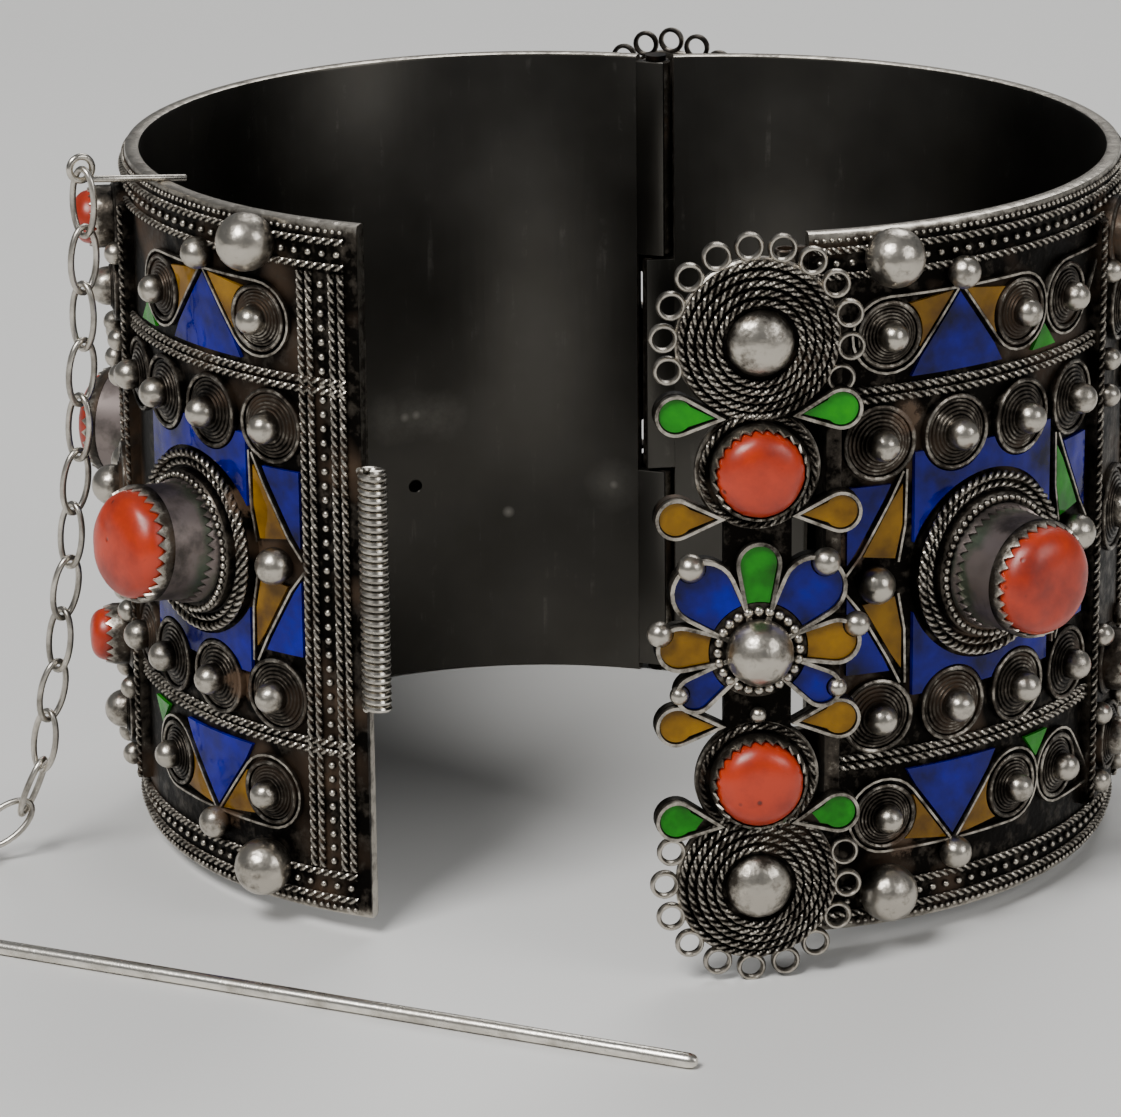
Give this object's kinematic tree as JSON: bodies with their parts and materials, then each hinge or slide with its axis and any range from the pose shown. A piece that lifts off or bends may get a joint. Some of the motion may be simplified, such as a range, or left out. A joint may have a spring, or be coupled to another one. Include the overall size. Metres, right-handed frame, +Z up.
{
  "type": "hinged silver bracelet with enamel and coral, open, with its chained closing pin",
  "caption": "Wide hinged bracelet of oxidised silver with enamel cells, granules and coral stones, shown open with its closing pin on a chain.",
  "frame": {"origin": "middle of the hollow for the wrist, on the surface that the bracelet stands on", "axes": "+Z up from the surface, +Y from the open mouth to the hinge, +X to the half with the closure strip"},
  "size_m": [0.1037, 0.0941, 0.061],
  "materials": {
    "silver": "oxidised",
    "pin_silver": "polished",
    "chain_silver": "satin",
    "coral": "polished",
    "enamel_blue": "gloss",
    "enamel_amber": "gloss",
    "enamel_green": "gloss"
  },
  "bodies": {
    "left_half": {"left_band": "silver", "hinge_pin": "silver", "closing_pin": "pin_silver", "chain": "chain_silver", "left_coral_front": "coral", "left_coral_side": "coral", "left_coral_back": "coral", "left_strip_coral_1": "coral", "left_strip_coral_2": "coral", "left_strip_coral_3": "coral", "left_strip_coral_4": "coral", "left_enamel_blue": "enamel_blue", "left_enamel_amber": "enamel_amber", "left_enamel_green": "enamel_green", "cover_coral_top": "coral", "cover_coral_bottom": "coral", "cover_enamel_blue": "enamel_blue", "cover_enamel_amber": "enamel_amber", "cover_enamel_green": "enamel_green"},
    "right_half": {"right_band": "silver", "right_coral_front": "coral", "right_coral_side": "coral", "right_coral_back": "coral", "right_strip_coral_1": "coral", "right_strip_coral_2": "coral", "right_strip_coral_3": "coral", "right_strip_coral_4": "coral", "right_enamel_blue": "enamel_blue", "right_enamel_amber": "enamel_amber", "right_enamel_green": "enamel_green", "closure_coral_top": "coral", "closure_coral_bottom": "coral", "closure_enamel_blue": "enamel_blue", "closure_enamel_amber": "enamel_amber", "closure_enamel_green": "enamel_green"}
  },
  "joints": [
    {"name": "hinge", "type": "hinge", "parent": "left_half", "child": "right_half", "pos_m": [0, 0.03321, 0.02827], "axis": [0, 0.0253, 0.9997], "range_deg": [-28.26, 2]}
  ]
}
